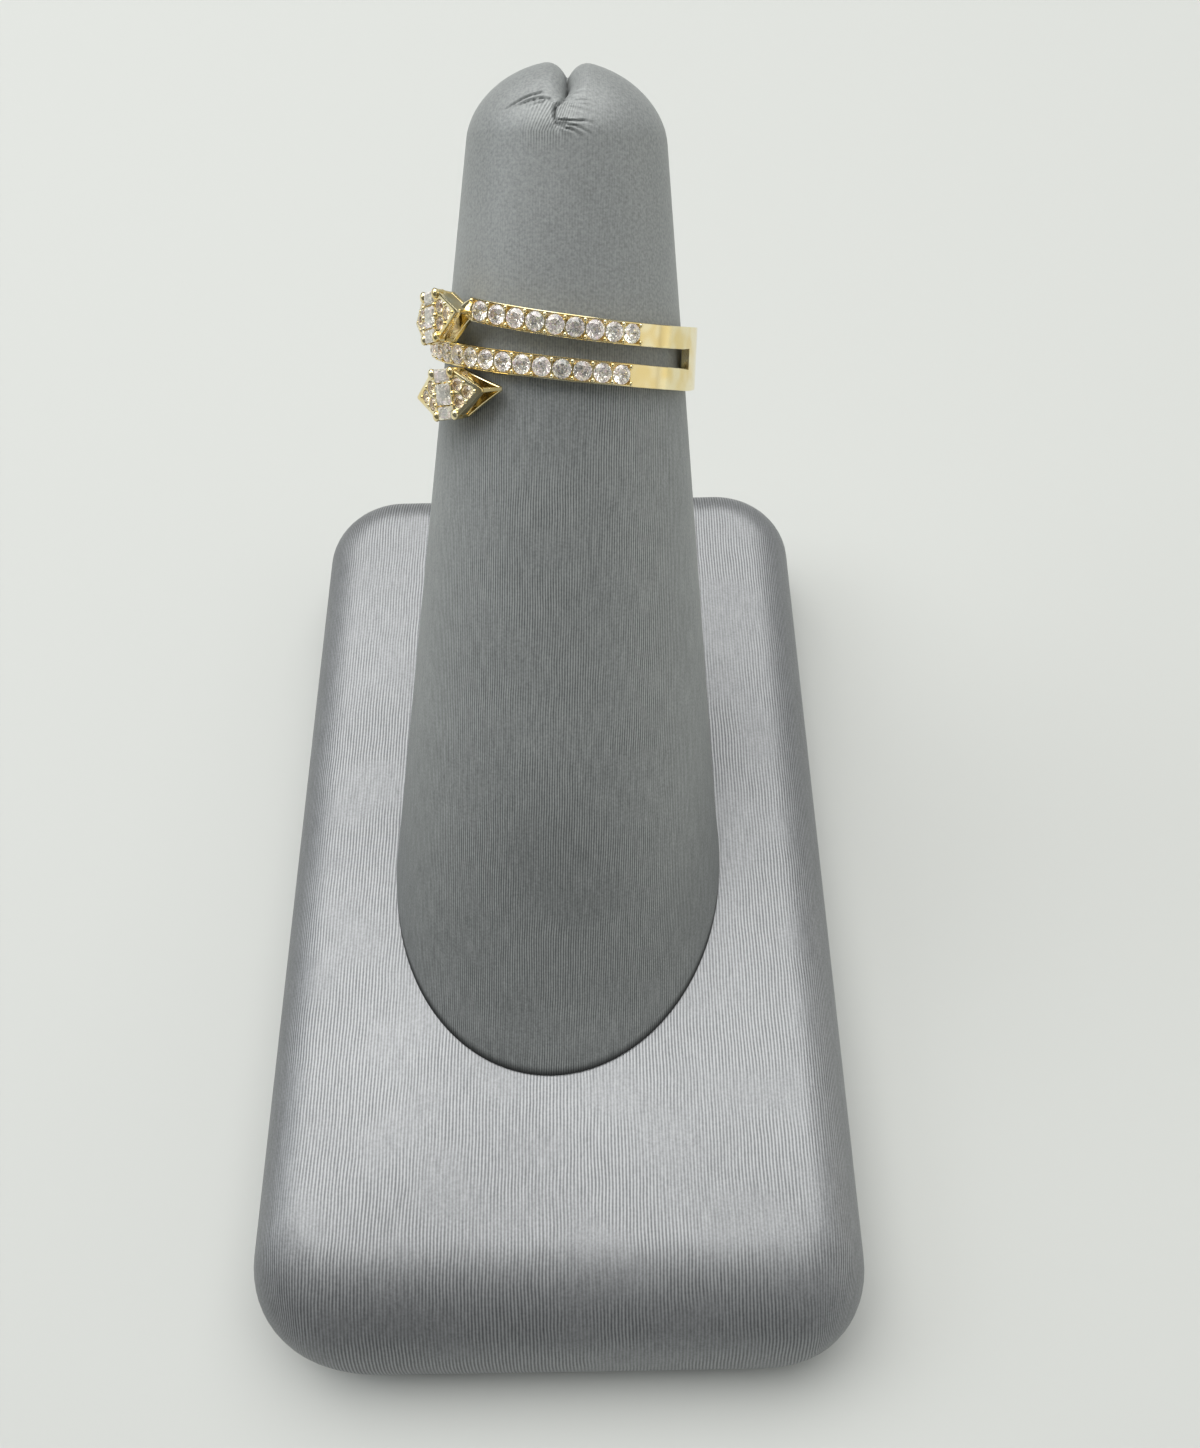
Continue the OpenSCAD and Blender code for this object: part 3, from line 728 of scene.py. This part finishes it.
gold, tree, shader = new_material("polished_gold", {"Metallic": 1.0})
body = add_node(tree, "ShaderNodeTexCoord", out=3)
polish, scratch = body.noise(scale=700.0, detail=1.0), body.noise(scale=4200.0, detail=3.0)
(0.08 + polish * 0.1).into(shader, "Roughness")
tint = mix_colours(tree, polish.between(0.35, 0.65), (0.89, 0.72, 0.35), (0.94, 0.84, 0.54))
tint.into(shader, "Base Color")
uneven = polish + scratch * 0.1
bump = add_node(tree, "ShaderNodeBump", values={"Strength": 0.4, "Distance": 0.00002, "Height": uneven})
bump.into(shader, "Normal")


def set_along_band(points, faces, name, material, values, turn):
    """Sets copies of a small shape along a band with Geometry Nodes, and makes the result a mesh."""
    tree = bpy.data.node_groups.new(name, "GeometryNodeTree")
    inputs = {"Shape": "NodeSocketGeometry", "Count": "NodeSocketInt", "First Angle": "NodeSocketFloat",
              "Step": "NodeSocketFloat", "Radius": "NodeSocketFloat", "Outer Band": "NodeSocketFloat",
              "Spin": "NodeSocketFloat"}
    for label, kind in inputs.items():
        tree.interface.new_socket(label, in_out="INPUT", socket_type=kind)
    tree.interface.new_socket("Set", in_out="OUTPUT", socket_type="NodeSocketGeometry")
    entry = tree.nodes.new("NodeGroupInput")
    given = {label: Link(tree, entry.outputs[label]) for label in inputs}

    # Each copy's place, on the same lines as the bands themselves
    index = add_node(tree, "GeometryNodeInputIndex")
    angle = given["First Angle"] + index * given["Step"]
    share = (angle.math("ABSOLUTE") / join_angle).math("MINIMUM", 1.0)
    free = (1.0 - share) ** 2.0
    eased = 0.7 * share + 0.3 * (share * (math.pi / 2)).math("SINE")
    crossing = angle.math("SIGN") * -half_pitch * eased
    height = (crossing * (1.0 - given["Outer Band"])
              + given["Outer Band"] * (half_pitch + band_rise * free))
    radius = given["Radius"] + given["Outer Band"] * band_lift * free
    turned = angle.math("RADIANS")
    spot = add_node(tree, "ShaderNodeCombineXYZ", values={0: radius * turned.math("COSINE"),
                                                          1: radius * turned.math("SINE"), 2: height})
    dots = add_node(tree, "GeometryNodePoints", values={"Count": given["Count"], "Position": spot})

    # Each one faces out from the ring, with a chance turn of its own
    faced = add_node(tree, "ShaderNodeCombineXYZ", values={1: math.pi / 2, 2: turned})
    outward = add_node(tree, "FunctionNodeEulerToRotation", values={0: faced})
    chance = add_node(tree, "FunctionNodeRandomValue", {"data_type": "FLOAT"},
                      {"ID": index, "Seed": 7}, out=1)
    own_turn = add_node(tree, "ShaderNodeCombineXYZ", values={2: chance * given["Spin"]})
    own_turn = add_node(tree, "FunctionNodeEulerToRotation", values={0: own_turn})
    outward = add_node(tree, "FunctionNodeRotateRotation", {"rotation_space": "LOCAL"},
                       {0: outward, 1: own_turn})
    copies = add_node(tree, "GeometryNodeInstanceOnPoints",
                      values={"Points": dots, "Instance": given["Shape"], "Rotation": outward})
    real = add_node(tree, "GeometryNodeRealizeInstances", values={0: copies})
    done = add_node(tree, "GeometryNodeSetMaterial", values={"Geometry": real, "Material": material})
    leave = tree.nodes.new("NodeGroupOutput")
    done.into(leave, 0)

    mesh = bpy.data.meshes.new(name)
    mesh.from_pydata([tuple(p) for p in points], [], [tuple(f) for f in faces])
    mesh.materials.append(material)
    holder = new_object(name, mesh)
    modifier = holder.modifiers.new("set", "NODES")
    modifier.node_group = tree
    for item in tree.interface.items_tree:
        if item.in_out == "INPUT" and item.name in values:
            modifier[item.identifier] = values[item.name]
    result = bpy.data.meshes.new_from_object(holder.evaluated_get(bpy.context.evaluated_depsgraph_get()))
    result.name = name
    holder.modifiers.clear()
    result.transform(turn)
    bpy.data.objects.remove(holder)
    return result


# The three rows of pave stones, and the beads and the low bridge of metal in each of their gaps
middle_row = {"Count": middle_count, "First Angle": -(middle_count - 1) / 2 * middle_step,
              "Step": middle_step, "Outer Band": 0.0}
outer_row = {"Count": outer_count, "First Angle": outer_start, "Step": outer_step, "Outer Band": 1.0}
pave_rows = (("middle", middle_row, no_turn), ("upper", outer_row, no_turn), ("lower", outer_row, half_turn))
gap_metal = Metal()
for edge in (-1, 1):
    dome(gap_metal, Vector((edge * 0.53, 0, -0.02)), (0.16, 0.15, 0.15), rings=4, sides=10)
bar(gap_metal, [Vector((-0.45, 0, -0.1)), Vector((0.45, 0, -0.1))], (0.06, 0.1))
for side, row, turn in pave_rows:
    gaps = {"Count": row["Count"] + 1, "First Angle": row["First Angle"] - row["Step"] / 2,
            "Radius": band_out_r, "Spin": 0.0}
    beads = set_along_band(gap_metal.points, gap_metal.faces, "beads", gold, {**row, **gaps}, turn)
    gold_metal.shell([v.co for v in beads.vertices], [tuple(f.vertices) for f in beads.polygons])
    bpy.data.meshes.remove(beads)

ring_metal = piece_from("ring_gold_setting", gold_metal.points, gold_metal.faces, gold,
                        matrix=ring_frame, smooth_angle=38.0)
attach(ring_metal, "root")
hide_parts("ring_setting")

# Pave stones: round brilliants of clear cubic zirconia, each with a table, stars, kites, halves and
# a pavilion, set in the bands with their tables just above the rails.
pave_d = 1.24


def brilliant(d):
    """A round brilliant with its girdle at the origin."""
    r, girdle, crown, deep = d / 2, 0.04 * d, 0.15 * d, 0.4 * d
    table = 0.58 * r

    def ring(radius, height, shift=0.0):
        return [(radius * math.cos(t), radius * math.sin(t), height)
                for t in np.radians(np.arange(8) * 45 + shift)]

    star_r = 0.8 * r
    star_z = girdle + crown - (star_r * math.cos(math.radians(22.5)) - table) * crown / (r - table)
    low_r = 0.3 * r
    low_z = -deep * (1 - low_r * math.cos(math.radians(22.5)) / r)
    points = (ring(table, girdle + crown) + ring(star_r, star_z, 22.5)
              + ring(r, girdle) + ring(r, girdle, 22.5) + ring(r, 0) + ring(r, 0, 22.5)
              + ring(low_r, low_z, 22.5) + [(0, 0, -deep)])
    faces = [tuple(range(8))]
    for k in range(8):
        after, before = (k + 1) % 8, (k - 1) % 8
        faces += [(k, 8 + k, after), (k, 8 + before, 16 + k, 8 + k)]
        faces += [(8 + k, 16 + k, 24 + k), (8 + k, 24 + k, 16 + after)]
        faces += [(16 + k, 32 + k, 40 + k, 24 + k), (24 + k, 40 + k, 32 + after, 16 + after)]
        faces += [(32 + k, 48 + k, 40 + k), (40 + k, 48 + k, 32 + after), (32 + k, 48 + before, 56, 48 + k)]
    return points, faces


ring_centre, ring_axis = ring_frame.translation, ring_frame.to_3x3() @ Vector((0, 0, 1))


def vector_math(tree, operation, *values, out=0):
    """A Vector Math node on vectors or links."""
    return add_node(tree, "ShaderNodeVectorMath", {"operation": operation}, dict(enumerate(values)), out)


def zirconia(name, clear, glint, chip, grey, white):
    """Cubic zirconia: clear glass that bends light strongly. Each facet shows chips of white, grey and
    faint colours, painted reflections and glowing painted glints for the light broken up inside the
    stone. Clear is how much of the light goes through, the glint is how brightly the chips glow and the chip
    their size."""
    material, tree, shader = new_material(name, {"Roughness": 0.04, "IOR": 2.1, "Transmission Weight": clear,
                                                 "Emission Strength": glint})
    body = add_node(tree, "ShaderNodeTexCoord", out=3)
    facing = add_node(tree, "ShaderNodeNewGeometry", out=3)
    spot = vector_math(tree, "MULTIPLY_ADD", facing, (0.0012, 0.0012, 0.0012), body)
    chips = add_node(tree, "ShaderNodeTexVoronoi", values={"Vector": spot, "Scale": 1 / chip}, out=1)
    share, other = chips.part(0), chips.part(1)
    # The table, the facet that faces straight out from the ring, shows less of the painted glints and is
    # painted greyer, a painted dark core
    from_centre = vector_math(tree, "SUBTRACT", body, ring_centre * MM)
    beside = vector_math(tree, "DOT_PRODUCT", from_centre, ring_axis, out=1)
    straight = vector_math(tree, "MULTIPLY_ADD", beside, -ring_axis, from_centre)
    straight = vector_math(tree, "NORMALIZE", straight)
    facing_out = vector_math(tree, "DOT_PRODUCT", straight, facing, out=1)
    table = facing_out.between(0.96, 0.995)
    # The chips glow by their own light: painted glints
    tinted = mix_colours(tree, 0.35, white, chips)
    painted_glints = mix_colours(tree, share.between(0.5, 0.85) * (1.0 - table * 0.7), (0.0, 0.0, 0.0), tinted)
    painted_glints.into(shader, "Emission Color")
    # The glass's colour mixes grey and white chips: painted reflections
    glass = mix_colours(tree, other.between(0.1, 0.9) * (1.0 - table * 0.6), grey, white)
    glass.into(shader, "Base Color")
    return material


clear_stone = zirconia("cubic_zirconia", clear=1.0, glint=0.27, chip=0.16 * MM,
                       grey=(0.50, 0.51, 0.48), white=(0.97, 0.96, 0.86))
stone_points, stone_faces = brilliant(pave_d)
girdle_r = band_out_r - 0.06
for side, row, turn in pave_rows:
    mesh = set_along_band(stone_points, stone_faces, f"pave_stones_{side}", clear_stone,
                          {**row, "Radius": girdle_r, "Spin": 0.78}, turn)
    mesh.transform(ring_frame)
    mesh.transform(Matrix.Scale(MM, 4))
    stones = new_object(f"pave_stones_{side}", mesh)
    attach(stones, "root")
    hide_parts(f"pave_row_{side}")

# Head stones: three step cut stones in a column on each head and three small brilliants on each
# side of it, all clear cubic zirconia held by the claws and beads.
column_stone_w, column_depth = 1.5, 0.6
column_lengths = [0.84, 1.36, 0.84]
column_step = 1.2


def step_cut(w, length):
    """A step cut stone: two crown steps, a girdle and a pavilion of two steps to a keel."""
    def ring(share_w, share_l, z):
        x, y = w / 2 * share_w, length / 2 * share_l
        return [(-x, -y, z), (x, -y, z), (x, y, z), (-x, y, z)]

    short = length < w * 0.8
    rows = [ring(0.62, 0.5 if short else 0.6, 0.22), ring(0.84, 0.76 if short else 0.82, 0.16),
            ring(1, 1, 0.05), ring(1, 1, 0.0), ring(0.75, 0.68, -0.3)]
    keel = max((w - length * 0.6) / 2, 0.2)
    points = [p for row in rows for p in row] + [(-keel, 0, -column_depth), (keel, 0, -column_depth)]
    faces = [(3, 2, 1, 0)] + tube_faces(len(rows), 4)
    faces += [(16, 17, 21, 20), (17, 18, 21), (18, 19, 20, 21), (19, 16, 20)]
    return points, faces


column_stone = zirconia("cubic_zirconia_column", clear=0.7, glint=0.24, chip=0.4 * MM,
                        grey=(0.76, 0.75, 0.67), white=(0.98, 0.98, 0.9))
# The side stones' chips are warm: painted reflections of the gold seats round them
side_stone = zirconia("cubic_zirconia_side", clear=1.0, glint=0.16, chip=0.15 * MM,
                      grey=(0.4, 0.3, 0.16), white=(0.97, 0.88, 0.64))
for side in ("upper", "lower"):
    for i in range(3):
        points, faces = step_cut(column_stone_w, column_lengths[i])
        place = ring_frame @ head_frame(side) @ Matrix.Translation((0, (i - 1) * column_step, -0.08))
        stone = piece_from(f"column_{side}_stone_{i + 1}", points, faces, column_stone,
                           smooth_angle=1.0, matrix=place)
        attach(stone, "root")
        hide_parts(f"column_stone_{side}_{i + 1}")
    for i in range(6):
        direction = 1 if i < 3 else -1
        x, y = round_places[i % 3]
        points, faces = brilliant(round_d)
        tilt = Matrix.Rotation(direction * field_slope, 4, "Y")
        place = (ring_frame @ head_frame(side) @ Matrix.Translation(on_field(direction, x, y)) @ tilt
                 @ Matrix.Translation((0, 0, -0.1)) @ Matrix.Rotation(0.3 * i, 4, "Z"))
        stone = piece_from(f"round_{side}_stone_{i + 1}", points, faces, side_stone,
                           smooth_angle=1.0, matrix=place)
        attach(stone, "root")
        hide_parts(f"round_stone_{side}_{i + 1}")

# The table that the stand is photographed on, the soft lights over it, and the camera.
floor_mesh = bpy.data.meshes.new("floor")
floor_half = 2.0
floor_mesh.from_pydata([(x * floor_half, y * floor_half, 0) for x, y in ((-1, -1), (1, -1), (1, 1), (-1, 1))],
                       [], [(0, 1, 2, 3)])
floor_paint, tree, shader = new_material("floor_pale", {"Base Color": (0.565, 0.58, 0.56), "Roughness": 0.6})
floor_mesh.materials.append(floor_paint)
floor = new_object("floor", floor_mesh)

room = bpy.data.worlds.new("room")
room.use_nodes = True
tree = room.node_tree
way = add_node(tree, "ShaderNodeTexCoord")
rightward, upward = way.part(0), way.part(2)
bright = 0.17 + upward.between(0.5, 1.0) * 0.08 + rightward.between(0.3, 1.0) * 0.48
tree.nodes["Background"].inputs["Color"].default_value = (0.80, 0.83, 0.84, 1)
bright.into(tree.nodes["Background"], "Strength")
bpy.context.scene.world = room


def soft_light(name, place, aim, size, watts, colour):
    """A large soft light that faces a point."""
    data = bpy.data.lights.new(name, "AREA")
    data.shape, data.size, data.size_y = "RECTANGLE", size[0], size[1]
    data.energy, data.color = watts, colour
    lamp = new_object(name, data)
    lamp.matrix_world = (Matrix.Translation(place)
                         @ (Vector(place) - Vector(aim)).to_track_quat("Z", "Y").to_matrix().to_4x4())


soft_light("ceiling_light", (0.0, 0.36, 0.9), (0, 0.06, 0), (1.2, 1.0), 10.9, (1.0, 0.99, 0.97))
soft_light("ceiling_left", (-0.45, 0.36, 0.8), (0, 0.06, 0), (0.5, 0.8), 2.1, (1.0, 0.99, 0.97))
soft_light("window_left", (-0.9, 0.2, 0.6), (0, 0.02, 0.02), (0.6, 0.6), 2.3, (0.95, 0.98, 1.0))
soft_light("lamp_right", (0.24, -0.02, 0.07), (0, 0.026, 0.042), (0.24, 0.16), 0.04, (1.0, 0.92, 0.74))

# The camera's place and angles were fitted to the stand's outline, in a picture 1448 pixels high
photo_height_px, focal_px = 1448, 1202
pitch, yaw, roll = 1.0709, -0.0114, -0.0304
look = Vector((math.sin(yaw) * math.cos(pitch), math.cos(yaw) * math.cos(pitch), -math.sin(pitch)))
right = Vector((math.cos(yaw), -math.sin(yaw), 0))
over = right.cross(look)
side_axis = right * math.cos(roll) + over * math.sin(roll)
up_axis = -right * math.sin(roll) + over * math.cos(roll)
eye = Vector((4.3275, -38.78, 102.5621)) * MM
camera_data = bpy.data.cameras.new("camera")
camera_data.sensor_width = 36.0
camera_data.lens = focal_px * camera_data.sensor_width / photo_height_px
camera_data.clip_start, camera_data.clip_end = 0.005, 10.0
camera = new_object("camera", camera_data)
camera.matrix_world = (Matrix.Translation(eye)
                       @ Matrix((side_axis, up_axis, -look)).transposed().to_4x4())
bpy.context.scene.camera = camera
bpy.context.scene.view_settings.view_transform = "Standard"
